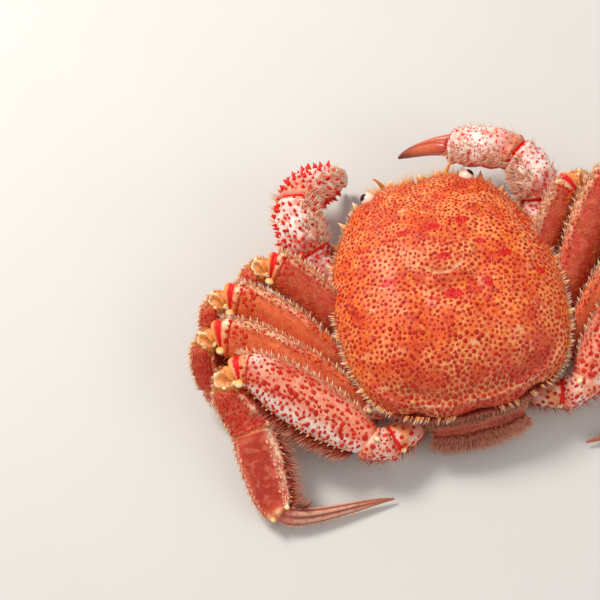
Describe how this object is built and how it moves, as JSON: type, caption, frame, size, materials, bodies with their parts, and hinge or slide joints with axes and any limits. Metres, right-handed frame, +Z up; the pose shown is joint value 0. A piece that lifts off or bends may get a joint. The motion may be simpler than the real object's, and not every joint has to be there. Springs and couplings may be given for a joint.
{
  "type": "horsehair crab",
  "caption": "Whole boiled horsehair crab, resting on its belly with the walking legs folded round the spiny oval back shell and both claws bent across the front.",
  "frame": {"origin": "middle of the flat underside of the thorax, where the crab rests", "axes": "+X towards the crab's right, +Y towards its front, +Z up"},
  "size_m": [0.2307, 0.155, 0.0547],
  "materials": {
    "carapace_shell": "boiled shell, orange with raised dark red granules, half gloss",
    "leg_shell": "boiled leg shell, crimson with pale borders, half gloss",
    "belly_shell": "cream underside shell, half gloss",
    "dactylus_horn": "grooved horn, pink-cream ridges and red-brown grooves",
    "claw_tip": "dark red-brown horn, half gloss",
    "eye_surface": "black cornea, glossy"
  },
  "bodies": {
    "root": {"carapace": "carapace_shell", "thorax": "belly_shell", "abdomen": "belly_shell", "left_eye": "eye_surface", "left_antenna": "carapace_shell", "left_maxilliped": "belly_shell", "left_leg_2_coxa": "belly_shell", "left_leg_2_merus": "leg_shell", "left_leg_2_carpus": "leg_shell", "left_leg_2_propodus": "leg_shell", "left_leg_2_dactylus": "dactylus_horn", "left_leg_3_coxa": "belly_shell", "left_leg_3_merus": "leg_shell", "left_leg_3_carpus": "leg_shell", "left_leg_3_propodus": "leg_shell", "left_leg_3_dactylus": "dactylus_horn", "left_leg_4_coxa": "belly_shell", "left_leg_4_merus": "leg_shell", "left_leg_4_carpus": "leg_shell", "left_leg_4_propodus": "leg_shell", "left_leg_4_dactylus": "dactylus_horn", "left_leg_5_coxa": "belly_shell", "left_leg_5_merus": "leg_shell", "left_leg_5_carpus": "leg_shell", "left_leg_5_propodus": "leg_shell", "left_leg_5_dactylus": "dactylus_horn", "left_claw_coxa": "belly_shell", "left_claw_merus": "leg_shell", "left_claw_carpus": "leg_shell", "left_claw_palm": "leg_shell", "left_claw_finger": "claw_tip", "right_eye": "eye_surface", "right_antenna": "carapace_shell", "right_maxilliped": "belly_shell", "right_leg_2_coxa": "belly_shell", "right_leg_2_merus": "leg_shell", "right_leg_2_carpus": "leg_shell", "right_leg_2_propodus": "leg_shell", "right_leg_2_dactylus": "dactylus_horn", "right_leg_3_coxa": "belly_shell", "right_leg_3_merus": "leg_shell", "right_leg_3_carpus": "leg_shell", "right_leg_3_propodus": "leg_shell", "right_leg_3_dactylus": "dactylus_horn", "right_leg_4_coxa": "belly_shell", "right_leg_4_merus": "leg_shell", "right_leg_4_carpus": "leg_shell", "right_leg_4_propodus": "leg_shell", "right_leg_4_dactylus": "dactylus_horn", "right_leg_5_coxa": "belly_shell", "right_leg_5_merus": "leg_shell", "right_leg_5_carpus": "leg_shell", "right_leg_5_propodus": "leg_shell", "right_leg_5_dactylus": "dactylus_horn", "right_claw_coxa": "belly_shell", "right_claw_merus": "leg_shell", "right_claw_carpus": "leg_shell", "right_claw_palm": "leg_shell", "right_claw_finger": "claw_tip"}
  },
  "joints": []
}
